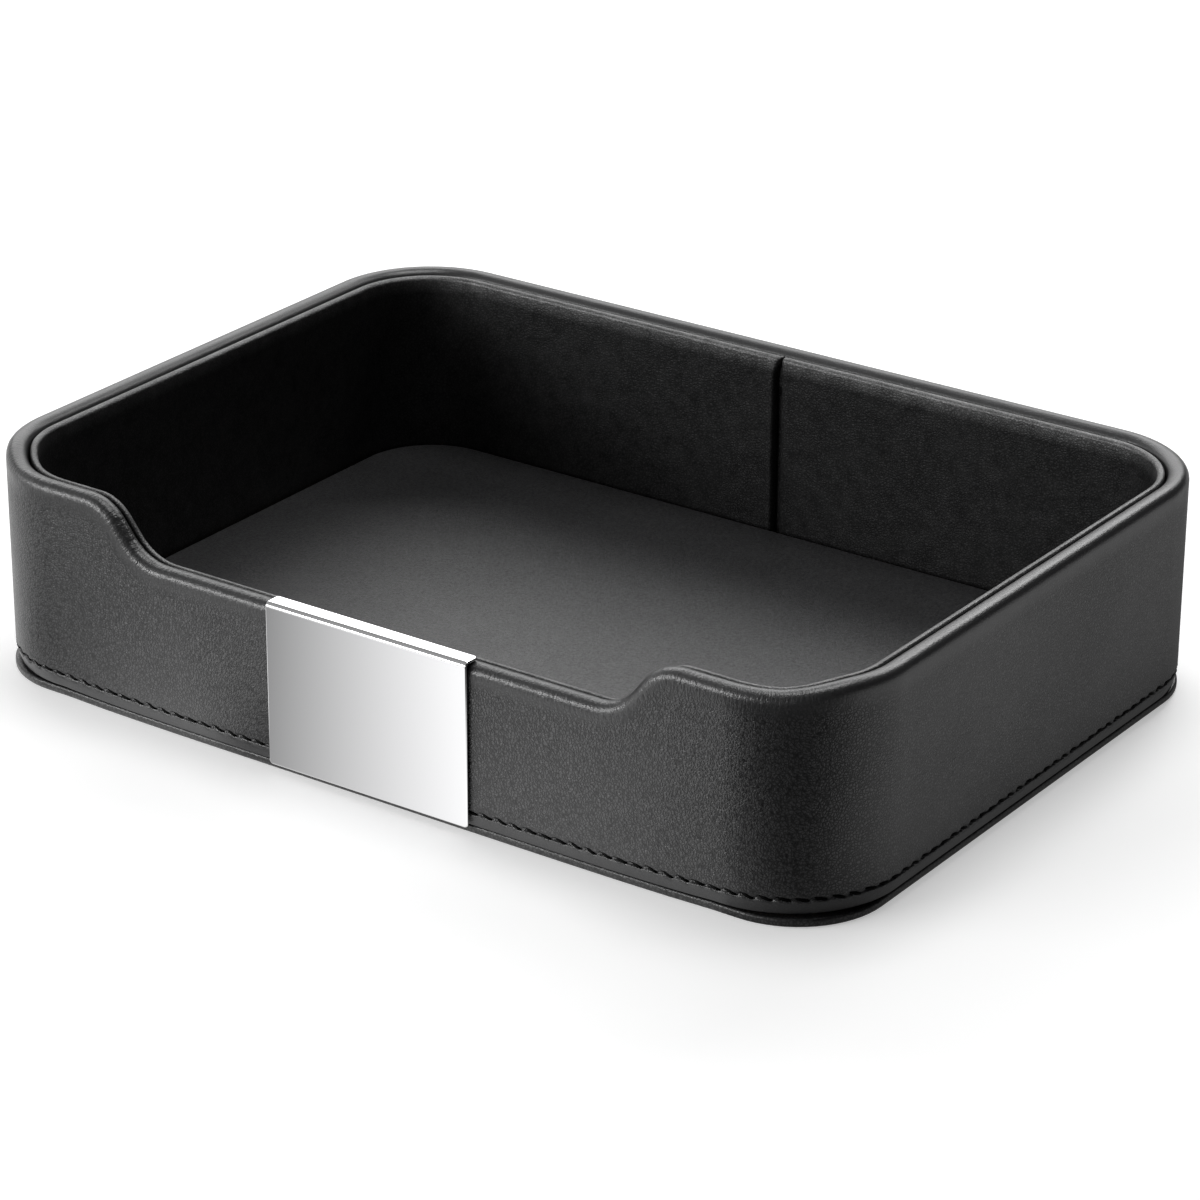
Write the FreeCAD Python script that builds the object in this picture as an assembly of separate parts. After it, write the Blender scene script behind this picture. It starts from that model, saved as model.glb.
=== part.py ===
import FreeCAD, Part
import math
import os

# Valet tray: leather-wrapped board walls on a rounded rectangle, a dipped front with a bent plate
# hooked over it, a lined well and a separate wrapped base board. Millimetres, +Z up, the dipped front
# faces -Y, and the origin lies under the middle of the walls on the surface that the tray stands on.

# Overall form
tray_length = 260.0
tray_depth = 185.0
tray_height = 60.0
corner_radius = 30.0

# Outer wall: a board band inside a leather wrap
wall_thickness = 5.5
leather = 0.8
rim_radius = 2.6
board_edge_break = 0.6
turn_in_depth = 16.0
wrap_seam_gap = 0.4

# Hem: the wall's lower edge rolls inwards below the stitches
hem_bottom = 3.1
hem_turn = 8.6
hem_inset = 1.1

# Dip in the front wall, with an S-shaped shoulder on each side
dip_drop = 16.0
dip_half_width = 76.5
shoulder_radius = 13.0
shoulder_angle = 52.0

# Lining: a thin card inside its own leather, standing just inside the outer wall
groove = 0.6
lining_thickness = 1.9
lining_leather = 0.5
lining_edge_break = 0.5
lining_drop = 1.1
lining_turn_in = 10.0
lining_seam_gap = 2.6
lining_lip_radius = 0.8

# Boards and floor of the well
glue_gap = 0.2
bottom_board_thickness = 3.7
floor_board_thickness = 2.5
floor_cloth = 0.7
floor_gap = 0.7
floor_edge_break = 0.4

# Base: a wrapped board under the walls, on a felt pad
base_inset = 1.5
base_corner_radius = 24.0
base_board_thickness = 1.2
base_leather = 0.5
base_edge_break = 0.6
base_lift = 0.2
base_turn_in = 14.0
felt_clearance = 0.3

# Bent plate over the dipped rim, held by mounting tape
plate_width = 60.0
plate_thickness = 0.8
plate_bottom = 2.1
plate_bend_radius = 0.6
plate_flange = 5.0
plate_corner_radius = 1.0
plate_edge_bevel = 0.2
plate_rim_clearance = 0.2
tape_thickness = 0.4
tape_margin = 3.0
tape_corner_radius = 2.0

# Stitches along the hem
stitch_height = 7.1
stitch_pitch = 4.3
stitch_length = 3.0
stitch_width = 0.55
stitch_rise = 0.25
stitch_slant = 8.0
stitch_clearance = 0.12

# Spare length of a cutting tool beyond the piece that it cuts
overrun = 5.0

# Levels that follow from the sizes above
base_bottom = base_lift
base_board_bottom = base_bottom + base_leather
base_top = base_board_bottom + base_board_thickness + base_leather
bottom_board_top = base_top + bottom_board_thickness
floor_board_top = bottom_board_top + floor_board_thickness
floor_top = floor_board_top + floor_cloth
dip_height = tray_height - dip_drop
hem_radius = ((hem_turn - hem_bottom) ** 2 + hem_inset ** 2) / (2.0 * hem_inset)
lining_outer = wall_thickness + groove
lining_inner = lining_outer + lining_thickness
front_face = -tray_depth / 2.0
back_face = tray_depth / 2.0
plate_back = front_face - tape_thickness


def rounded_outline(length, depth, radius, level):
    """A rounded rectangle centred on the origin, at one height."""
    x = length / 2.0
    y = depth / 2.0
    corners = [(x - radius, y - radius, 0), (radius - x, y - radius, 90),
               (radius - x, radius - y, 180), (x - radius, radius - y, 270)]
    arcs = []
    for centre_x, centre_y, start in corners:
        points = []
        for turn in (0, 45, 90):
            angle = math.radians(start + turn)
            points.append(FreeCAD.Vector(centre_x + radius * math.cos(angle),
                                         centre_y + radius * math.sin(angle), level))
        arcs.append(Part.Arc(*points).toShape())
    edges = []
    for arc, following in zip(arcs, arcs[1:] + arcs[:1]):
        edges.append(arc)
        edges.append(Part.LineSegment(arc.valueAt(arc.LastParameter),
                                      following.valueAt(following.FirstParameter)).toShape())
    return Part.Wire(edges)


def rounded_block(length, depth, radius, bottom, top):
    """An upright block on a rounded rectangle centred on the origin."""
    return Part.Face(rounded_outline(length, depth, radius, bottom)).extrude(FreeCAD.Vector(0, 0, top - bottom))


def wall_outline(inset, level):
    """The wall's outline in plan, inset from the tray's outer face all round."""
    return rounded_outline(tray_length - 2.0 * inset, tray_depth - 2.0 * inset, corner_radius - inset, level)


def wall_block(inset, bottom, top):
    """A block whose sides lie inset from the tray's outer face all round."""
    return Part.Face(wall_outline(inset, bottom)).extrude(FreeCAD.Vector(0, 0, top - bottom))


def base_block(inset, bottom, top):
    """A block whose sides lie inset from the base board's outer face all round."""
    reach = 2.0 * (base_inset + inset)
    return rounded_block(tray_length - reach, tray_depth - reach, base_corner_radius - inset, bottom, top)


def edges_at_level(shape, level):
    """All edges of a shape that lie flat at one height."""
    found = []
    for edge in shape.Edges:
        box = edge.BoundBox
        if abs(box.ZMin - level) < 1e-6 and abs(box.ZMax - level) < 1e-6:
            found.append(edge)
    return found


def hemmed_block():
    """The wall's outside: its lower edge rolls inwards from the hem's turn and is cut off flat."""
    lowest = hem_turn - hem_radius
    block = wall_block(0.0, lowest, tray_height)
    rolled = block.makeFillet(hem_radius, edges_at_level(block, lowest))
    return rolled.common(wall_block(-overrun, hem_bottom, tray_height + overrun))


def tapered_block():
    """The wall board's outside: its lower edge is cut to a taper under the rolled hem."""
    taper = Part.makeLoft([wall_outline(leather + hem_inset, hem_bottom + leather),
                           wall_outline(leather, hem_turn)], True, True)
    return taper.fuse(wall_block(leather, hem_turn, tray_height - leather))


def shoulder_points(offset):
    """Corner points, arc middles and ends of the right-hand S shoulder, from the dip up to the rim."""
    angle = math.radians(shoulder_angle)
    straight = (dip_drop - 2.0 * shoulder_radius * (1.0 - math.cos(angle))) / math.sin(angle)
    run = 2.0 * shoulder_radius * math.sin(angle) + straight * math.cos(angle)
    low_x = dip_half_width - run / 2.0
    high_x = dip_half_width + run / 2.0
    low_radius = shoulder_radius + offset
    high_radius = shoulder_radius - offset
    low = []
    high = []
    for turn in (0.0, angle / 2.0, angle):
        low.append((low_x + low_radius * math.sin(turn),
                    dip_height + shoulder_radius - low_radius * math.cos(turn)))
        high.append((high_x - high_radius * math.sin(turn),
                     tray_height - shoulder_radius + high_radius * math.cos(turn)))
    return low, high[::-1]


def dip_tool(offset, reach):
    """The space of the front dip, grown by an offset into the wall and run through the wall's thickness."""
    start = front_face - overrun

    def at(point, side):
        return FreeCAD.Vector(side * point[0], start, point[1])

    low, high = shoulder_points(offset)
    top = tray_height + overrun
    edges = []
    for side in (-1.0, 1.0):
        edges.append(Part.Arc(*[at(point, side) for point in low]).toShape())
        edges.append(Part.LineSegment(at(low[-1], side), at(high[0], side)).toShape())
        edges.append(Part.Arc(*[at(point, side) for point in high]).toShape())
        edges.append(Part.LineSegment(at(high[-1], side), at((high[-1][0], top), side)).toShape())
    edges.append(Part.LineSegment(at(low[0], -1.0), at(low[0], 1.0)).toShape())
    edges.append(Part.LineSegment(at((high[-1][0], top), -1.0), at((high[-1][0], top), 1.0)).toShape())
    outline = Part.Wire(Part.__sortEdges__(edges))
    return Part.Face(outline).extrude(FreeCAD.Vector(0, reach + 2.0 * overrun, 0))


def middle_normal(face):
    """The outward normal in the middle of a face."""
    u_low, u_high, v_low, v_high = face.ParameterRange
    return face.normalAt((u_low + u_high) / 2.0, (v_low + v_high) / 2.0)


def is_upright(face):
    """True for a wall face: its normal has no vertical share."""
    return abs(middle_normal(face).z) < 1e-6


def is_polished(face):
    """True for a face of the plate that looks to the front, to the top or in between."""
    normal = middle_normal(face)
    return normal.z - normal.y > 0.5


def rim_edges(ring, lowest):
    """The two edge chains of a ring's rim, over corners, shoulders and dip alike."""
    found = []
    for edge in ring.Edges:
        if edge.BoundBox.ZMin < lowest:
            continue
        walls = [face for face in ring.ancestorsOfType(edge, Part.Face) if is_upright(face)]
        if len(walls) == 1:
            found.append(edge)
    return found


def dipped_ring(outside, inner_inset, drop):
    """Hollows a wall block and cuts the front dip into it; gives the ring and the edges of its rim."""
    hollow = wall_block(inner_inset, -overrun, tray_height + overrun)
    ring = outside.cut(hollow).cut(dip_tool(drop, inner_inset))
    return ring, rim_edges(ring, dip_height - drop - 1e-3)


def outer_wall():
    """The board band of the outer wall and the leather round it, whose ends meet behind the plate."""
    ring, rim = dipped_ring(hemmed_block(), wall_thickness, 0.0)
    body = ring.makeFillet(rim_radius, rim)
    ring, rim = dipped_ring(tapered_block(), wall_thickness - leather, leather)
    board = ring.makeChamfer(board_edge_break, rim)
    bare_inside = wall_block(wall_thickness - leather, -overrun, dip_height - turn_in_depth)
    seam = Part.makeBox(wrap_seam_gap, tray_depth, 2.0 * tray_height,
                        FreeCAD.Vector(-wrap_seam_gap / 2.0, -tray_depth, -overrun))
    wrap = body.cut(board).cut(bare_inside).cut(seam)
    return board, wrap


def lining_seam_tool(gap, lip):
    """The slot of the lining's seam in the back wall, with rounded lips towards the well."""
    inner = back_face - lining_inner
    outer = back_face - lining_outer + groove / 2.0
    corner = lip * math.sqrt(0.5)

    def at(x, y):
        return FreeCAD.Vector(x, y, -overrun)

    edges = []
    for side in (-1.0, 1.0):
        edge = side * gap / 2.0
        shoulder = edge + side * lip
        edges.append(Part.Arc(at(shoulder, inner),
                              at(shoulder - side * corner, inner + lip - corner),
                              at(edge, inner + lip)).toShape())
        edges.append(Part.LineSegment(at(edge, inner + lip), at(edge, outer)).toShape())
        edges.append(Part.LineSegment(at(shoulder, inner), at(shoulder, inner - overrun)).toShape())
    edges.append(Part.LineSegment(at(-gap / 2.0, outer), at(gap / 2.0, outer)).toShape())
    mouth = gap / 2.0 + lip
    edges.append(Part.LineSegment(at(-mouth, inner - overrun), at(mouth, inner - overrun)).toShape())
    outline = Part.Wire(Part.__sortEdges__(edges))
    return Part.Face(outline).extrude(FreeCAD.Vector(0, 0, 2.0 * tray_height))


def inner_lining():
    """The lining's card and the leather round it, open at the seam in the middle of the back."""
    top = tray_height - lining_drop
    card_inset = lining_outer + lining_leather
    ring, rim = dipped_ring(wall_block(lining_outer, bottom_board_top, top), lining_inner, lining_drop)
    body = ring.makeChamfer(lining_edge_break, rim)
    card = dipped_ring(wall_block(card_inset, bottom_board_top, top - lining_leather),
                       lining_inner - lining_leather, lining_drop + lining_leather)[0]
    body = body.cut(lining_seam_tool(lining_seam_gap, lining_lip_radius))
    card = card.cut(lining_seam_tool(lining_seam_gap + 2.0 * lining_leather, lining_lip_radius))
    turn_in_end = dip_height - lining_turn_in
    bare_outside = wall_block(lining_outer, -overrun, turn_in_end)
    bare_outside = bare_outside.cut(wall_block(card_inset, -overrun, turn_in_end))
    return card, body.cut(card).cut(bare_outside)


def well_floor():
    """The board between the walls, and the covered card that lies on it as the well's floor."""
    bottom_board = wall_block(wall_thickness - leather + glue_gap, base_top, bottom_board_top)
    cover_inset = lining_inner + floor_gap
    card = wall_block(cover_inset + floor_cloth, bottom_board_top, floor_board_top)
    cover = wall_block(cover_inset, bottom_board_top, floor_top)
    cover = cover.makeChamfer(floor_edge_break, edges_at_level(cover, floor_top))
    return bottom_board, card, cover.cut(card)


def wrapped_base():
    """The base board, the leather turned in under it, and the felt inside the turned edge."""
    body = base_block(0.0, base_bottom, base_top)
    edges = edges_at_level(body, base_bottom) + edges_at_level(body, base_top)
    body = body.makeChamfer(base_edge_break, edges)
    board = base_block(base_leather, base_board_bottom, base_top - base_leather)
    opening = base_block(base_turn_in, -overrun, base_board_bottom)
    felt = base_block(base_turn_in + felt_clearance, 0.0, base_board_bottom)
    return board, body.cut(board).cut(opening), felt


def bent_plate():
    """The plate: a flat front, a tight bend and a flange over the dipped rim, bevelled round its face."""
    flange_bottom = dip_height + plate_rim_clearance
    top = flange_bottom + plate_thickness
    front = plate_back - plate_thickness
    end = front + plate_flange
    outer_bend = plate_bend_radius + plate_thickness

    def at(y, z):
        return FreeCAD.Vector(-plate_width / 2.0, y, z)

    def bend(radius):
        centre_y = front + outer_bend
        centre_z = top - outer_bend
        points = []
        for turn in (180, 135, 90):
            angle = math.radians(turn)
            points.append(at(centre_y + radius * math.cos(angle), centre_z + radius * math.sin(angle)))
        return points

    outer = bend(outer_bend)
    inner = bend(plate_bend_radius)
    edges = [Part.LineSegment(at(front, plate_bottom), outer[0]).toShape(),
             Part.Arc(*outer).toShape(),
             Part.LineSegment(outer[2], at(end, top)).toShape(),
             Part.LineSegment(at(end, top), at(end, flange_bottom)).toShape(),
             Part.LineSegment(at(end, flange_bottom), inner[2]).toShape(),
             Part.Arc(*inner[::-1]).toShape(),
             Part.LineSegment(inner[0], at(plate_back, plate_bottom)).toShape(),
             Part.LineSegment(at(plate_back, plate_bottom), at(front, plate_bottom)).toShape()]
    plate = Part.Face(Part.Wire(edges)).extrude(FreeCAD.Vector(plate_width, 0, 0))
    corners = [edge for edge in edges_at_level(plate, plate_bottom) if edge.BoundBox.XLength < 1e-6]
    plate = plate.makeFillet(plate_corner_radius, corners)
    outline = []
    for edge in plate.Edges:
        polished = [face for face in plate.ancestorsOfType(edge, Part.Face) if is_polished(face)]
        if len(polished) == 1:
            outline.append(edge)
    return plate.makeChamfer(plate_edge_bevel, outline)


def mounting_tape():
    """The tape pad between the plate and the wall, clear of the stitches and of the rim's roll."""
    bottom = hem_turn + tape_margin
    top = dip_height - rim_radius - tape_margin
    pad = rounded_block(plate_width - 2.0 * tape_margin, top - bottom, tape_corner_radius, 0.0, tape_thickness)
    pad.rotate(FreeCAD.Vector(0, 0, 0), FreeCAD.Vector(1, 0, 0), 90)
    pad.translate(FreeCAD.Vector(0, front_face, (bottom + top) / 2.0))
    return pad


def place_on_wall(distance, inset):
    """Point and heading on a line round the wall, a distance along from the middle of the back."""
    radius = corner_radius - inset
    half_x = tray_length / 2.0 - corner_radius
    half_y = tray_depth / 2.0 - corner_radius
    bend = radius * math.pi / 2.0
    runs = [half_x, 2.0 * half_y, 2.0 * half_x, 2.0 * half_y, half_x]
    heading = 180.0
    x = 0.0
    y = tray_depth / 2.0 - inset
    left = distance
    for run in runs:
        along = math.radians(heading)
        step = min(left, run)
        x += step * math.cos(along)
        y += step * math.sin(along)
        left -= step
        if left <= 0.0:
            break
        turn = min(left, bend) / radius
        centre_x = x - radius * math.sin(along)
        centre_y = y + radius * math.cos(along)
        heading += math.degrees(turn)
        along = math.radians(heading)
        x = centre_x + radius * math.sin(along)
        y = centre_y - radius * math.cos(along)
        left -= min(left, bend)
    return x, y, heading


def hem_stitches():
    """One arched stitch after another round the hem, each a little slanted, as separate solids."""
    drop = hem_turn - stitch_height
    inset = hem_radius - math.sqrt(hem_radius ** 2 - drop ** 2) - stitch_clearance
    radius = corner_radius - inset
    length = 2.0 * (tray_length + tray_depth) - 8.0 * corner_radius + 2.0 * math.pi * radius
    count = round(length / stitch_pitch)
    half = stitch_length / 2.0
    arch = [(-half, 0.0), (half, 0.0), (half / 2.0, -stitch_rise), (-half / 2.0, -stitch_rise), (-half, 0.0)]
    profile = Part.makePolygon([FreeCAD.Vector(x, y, -stitch_width / 2.0) for x, y in arch])
    stitches = []
    for number in range(count):
        x, y, heading = place_on_wall((number + 0.5) * length / count, inset)
        stitch = Part.Face(profile).extrude(FreeCAD.Vector(0, 0, stitch_width))
        stitch.rotate(FreeCAD.Vector(0, 0, 0), FreeCAD.Vector(0, 1, 0), -stitch_slant)
        stitch.rotate(FreeCAD.Vector(0, 0, 0), FreeCAD.Vector(0, 0, 1), heading)
        stitch.translate(FreeCAD.Vector(x, y, stitch_height))
        stitches.append(stitch)
    return Part.makeCompound(stitches)


def main():
    nodes = {}
    nodes["outer_wall_board"], nodes["outer_wrap"] = outer_wall()
    nodes["lining_board"], nodes["lining"] = inner_lining()
    nodes["bottom_board"], nodes["floor_board"], nodes["floor_lining"] = well_floor()
    nodes["base_board"], nodes["base_wrap"], nodes["base_felt"] = wrapped_base()
    nodes["front_plate"] = bent_plate()
    nodes["plate_tape"] = mounting_tape()
    nodes["hem_thread"] = hem_stitches()
    os.makedirs("parts", exist_ok=True)
    for name, shape in nodes.items():
        shape.exportStep("parts/" + name + ".step")
        print(name, shape.ShapeType, len(shape.Solids), "solids", round(shape.Volume / 1000.0, 2), "cm3",
              "valid" if shape.isValid() else "not valid")


main()
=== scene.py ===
import math

import bmesh
import bpy
from mathutils import Matrix, Vector


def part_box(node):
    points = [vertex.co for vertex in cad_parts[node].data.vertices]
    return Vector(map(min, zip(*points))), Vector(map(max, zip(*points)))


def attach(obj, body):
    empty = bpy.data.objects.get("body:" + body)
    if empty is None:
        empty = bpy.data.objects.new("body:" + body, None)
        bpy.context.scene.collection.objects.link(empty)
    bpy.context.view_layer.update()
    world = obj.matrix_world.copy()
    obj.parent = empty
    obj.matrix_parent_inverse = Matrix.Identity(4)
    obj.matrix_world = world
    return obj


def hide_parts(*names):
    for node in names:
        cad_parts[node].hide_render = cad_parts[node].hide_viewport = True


# A black leather valet tray on a white studio floor. Metres; +Z up, the dipped front faces -Y.

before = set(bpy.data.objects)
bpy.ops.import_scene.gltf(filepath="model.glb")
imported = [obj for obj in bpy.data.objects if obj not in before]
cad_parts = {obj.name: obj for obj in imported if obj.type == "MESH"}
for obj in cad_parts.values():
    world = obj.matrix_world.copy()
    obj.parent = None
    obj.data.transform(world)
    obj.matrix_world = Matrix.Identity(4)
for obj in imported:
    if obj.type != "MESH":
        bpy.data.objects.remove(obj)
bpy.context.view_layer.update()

MM = 0.001

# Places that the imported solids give
wrap_low, wrap_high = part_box("outer_wrap")
lining_low, lining_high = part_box("lining")
floor_low, floor_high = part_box("floor_lining")
base_low, base_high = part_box("base_wrap")
felt_low, felt_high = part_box("base_felt")
plate_low, plate_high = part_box("front_plate")
RIM_TOP = wrap_high.z
HEM_BOTTOM = wrap_low.z
HALF_LENGTH = wrap_high.x
HALF_DEPTH = wrap_high.y
LINING_OUTER = HALF_LENGTH - lining_high.x

# Walls
CORNER_RADIUS = 30 * MM
WALL_THICKNESS = 5.5 * MM
LEATHER = 0.8 * MM
RIM_RADIUS = 2.6 * MM
TURN_IN_END = 28 * MM
SEAM_GAP = 0.16 * MM
SEAM_EDGE = 0.15 * MM
HEM_TURN = 8.6 * MM
HEM_INSET = 1.1 * MM
HEM_RADIUS = ((HEM_TURN - HEM_BOTTOM) ** 2 + HEM_INSET ** 2) / (2 * HEM_INSET)
HEM_EDGE = 0.3 * MM
HEM_UNDER = 3.2 * MM
HEM_SAG = 0.68 * MM
HEM_BULGE = 0.5 * MM
BULGE_HEIGHT = 3 * MM
STITCH_SAG = 1.2 * MM
SAG_REACH = 98 * MM

# Levels in millimetres of the wall section's points: low on the hem, up the wall and down inside
HEM_LEVELS = (4.6, 5.4)
WALL_LEVELS = (9, 12, 17, 24, 32, 40, 47, 53, 56.2)
TURN_IN_LEVELS = (52, 40)

# Where the leather is stretched smooth: so far down from the rim, and below a level at the hem
RIM_STRETCH = 3 * MM
RIM_FADE = 4 * MM
HEM_STRETCH = 8 * MM
HEM_FADE = 2 * MM
STRETCHED_SMOOTH = 0.75

# Where the leather gathers in crinkles: on the roll towards the front, and just below the stitches
GATHER_START = 70 * MM
GATHER_RUN = 20 * MM
PULL_OFFSET = 0.5 * MM
PULL_SPREAD = 0.3873 * MM

# Dip of the front wall: level, and the S shoulder at each side
DIP_LEVEL = 44 * MM
DIP_HALF_WIDTH = 76.5 * MM
SHOULDER_RADIUS = 13 * MM
SHOULDER_ANGLE = math.radians(52)

# The roll at the rim keeps its shape in the dip, and the wall below the steady level stays where it is
ROLL_DEPTH = 3.4 * MM
STEADY_LEVEL = 12 * MM

# Ears of the front wall: the rim between shoulder and corner lies lower and climbs round the corner
EAR_DROP = 2.0 * MM
EAR_LEVEL = RIM_TOP - EAR_DROP
EAR_CLIMB_START = math.radians(22)
EAR_CLIMB_END = math.radians(64)

# Stitches and the furrow that they pull into the leather
STITCH_COUNT = 195
STITCH_LEVEL = 7.1 * MM
STITCH_LENGTH = 3.2 * MM
STITCH_WIDTH = 1.0 * MM
STITCH_SINK = 0.5 * MM
STITCH_SLOPE = 0.22
STITCH_DIVE = math.radians(-9)
STITCH_COLUMNS = (-0.5, -0.36, -0.24, 0.24, 0.36)
STITCH_WANDER = 0.06 * MM
FURROW_ROWS = (-1.1, -0.75, -0.55, -0.42, -0.3, -0.2, -0.1, 0, 0.1, 0.2, 0.3, 0.42, 0.55, 0.75, 1.1)

# The furrow's section in millimetres: a pit that is deeper where a stitch grips, between two swellings
PIT_DEPTH = 0.54
PIT_GRIP = 0.26
PIT_HALF_WIDTH = 0.41
SWELL_HEIGHT = 0.05
SWELL_GRIP = 0.19
SWELL_OFFSET = 0.68
SWELL_HALF_WIDTH = 0.28
UPPER_SWELL = 0.4

# Shares of the stitches' pitch: where a stitch's grip has faded, over how much, and where its slant ends
GRIP_END = 0.38
GRIP_FADE = 0.12
SLANT_END = 0.36

# Lining
LINING_THICKNESS = 1.9 * MM
LINING_LEATHER = 0.5 * MM
LINING_TURN_IN = 10 * MM
LINING_EDGE = 0.6 * MM
LINING_ROUND = 1.1 * MM
LINING_COLUMN = 1.5 * MM
LINING_ROWS = 14
LINING_TURN_ROWS = 3
LIP_START = 1.3 * MM
LIP_WIDTH = 5 * MM
LIP_STEPS = 5
LIP_RISE = 0.35 * MM
LIP_ROUND = 1.2 * MM
LIP_ROUND_STEPS = 6
LIP_LEAN = 1.9 * MM
LEAN_DEPTH = 7 * MM
TAIL_START = 1.1 * MM
TAIL_DIVE = 1.4 * MM
TAIL_END = 2.6 * MM
TAIL_STEPS = 12
TAIL_SEAT = 5.65 * MM
TAIL_TILT = 0.2 * MM
TAIL_DROP = 1.5 * MM
TAIL_DROP_DEPTH = 20 * MM
LINING_SHEEN = 1.4 * MM
LINING_FADE = 1.2 * MM

# Sections of the hidden boards, as (inset, level) in millimetres
BAND_SECTION = ((2.3, 4), (1.6, 8.6), (1, 14), (1, 56), (2, 58.6),
                (3.5, 58.6), (4.5, 56), (4.5, 4), (2.3, 4))
CARD_SECTION = ((6.8, 6.3), (6.8, 57.4), (7.3, 57.4), (7.3, 6.3), (6.8, 6.3))
BOARD_COLUMN = 2.5 * MM

# Pads: the well's floor, the base and the felt
PAD_CORNER_STEPS = 16
FLOOR_CORNER = 21.3 * MM
FLOOR_EDGE = 0.6 * MM
BASE_CORNER = 24 * MM
BASE_EDGE = 0.7 * MM
BASE_TURN_IN = 14 * MM
BASE_BOW = 1.0 * MM
BASE_BOW_DEPTH = 5 * MM
BASE_BOW_CUTS = 8
FELT_CORNER = 9.7 * MM
FELT_EDGE = 0.2 * MM

# Plate
PLATE_THICKNESS = 0.8 * MM
PLATE_BEND = 1.4 * MM
PLATE_CORNER = 1.0 * MM
PLATE_EDGE = 0.38 * MM
PLATE_BEND_STEPS = 12

# The part of a noise pattern's range that it fills
NOISE_MIDDLE = {"From Min": 0.3, "From Max": 0.7}

# A colour mix's sockets by number, because its sockets for plain numbers have the same names
COLOUR_A = 6
COLOUR_B = 7
COLOUR_RESULT = 2

# Painted pools of light and painted dark bands in front of the tray: where each lies, and its tone in
# reflections
PAINTED_POOL_BANDS = ((0, 0.5), (0.19, 0.1), (0.365, 1.0), (0.4, 0.15),
                (0.575, 0.73), (0.625, 0.82), (0.725, 0.6), (0.83, 0.03))

# The floor's paper: its own tone, the glow that the camera sees and the glow of its painted pools of light
# in reflections
PAPER_TONE = 0.8
PAPER_GLOW = 0.42
PAINTED_POOL_GLOW = 1.6

# The way to the lighter side of the surroundings
LIGHT_SIDE = (-0.9, -0.4, 0)

# Camera, found by fitting the tray's edges to the photograph
CAMERA_PLACE = (0.58658, -0.82828, 0.47173)
CAMERA_TURN = (65.980, -0.206, 35.310)
CAMERA_LENS = 131.495


def clamped(value):
    """A value kept between nought and one."""
    return min(1.0, max(0.0, value))


def eased(share):
    """A share from nought to one that starts and ends gently."""
    return share * share * (3 - 2 * share)


def link(name, bm, material, node):
    """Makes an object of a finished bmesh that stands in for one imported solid."""
    mesh = bpy.data.meshes.new(name)
    bm.to_mesh(mesh)
    bm.free()
    mesh.materials.append(material)
    for polygon in mesh.polygons:
        polygon.use_smooth = True
    piece = bpy.data.objects.new(name, mesh)
    bpy.context.scene.collection.objects.link(piece)
    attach(piece, "root")
    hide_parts(node)
    return piece


def give_thickness(piece, thickness):
    """Thickens a swept shell towards the board that it covers."""
    shell = piece.modifiers.new("leather", "SOLIDIFY")
    shell.thickness = thickness
    shell.offset = -1


def keep_flats_flat(piece):
    """Lets rounded edges shade smoothly without tinting the flat faces beside them."""
    normals = piece.modifiers.new("flat_faces", "WEIGHTED_NORMAL")
    normals.weight = 100


def linear(hex_colour):
    """An sRGB hex value as linear colour."""
    parts = [int(hex_colour[i:i + 2], 16) / 255 for i in (1, 3, 5)]
    steps = [c / 12.92 if c <= 0.04045 else ((c + 0.055) / 1.055) ** 2.4 for c in parts]
    return (*steps, 1.0)


def add(tree, kind, output, inputs=None, **settings):
    """Adds one node; each input is a value or another node's output. Gives the output that is named."""
    node = tree.nodes.new(kind)
    for name, value in settings.items():
        setattr(node, name, value)
    for socket, source in (inputs or {}).items():
        if isinstance(source, bpy.types.NodeSocket):
            tree.links.new(source, node.inputs[socket])
        else:
            node.inputs[socket].default_value = source
    return node.outputs[output]


def new_material(name):
    """A material with a Principled shader; gives it, its tree and its shader."""
    material = bpy.data.materials.new(name)
    material.use_nodes = True
    tree = material.node_tree
    return material, tree, tree.nodes["Principled BSDF"]


def per_metre(millimetres):
    """Texture scale for a pattern that repeats at a real size."""
    return 1 / (millimetres * MM)


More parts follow.
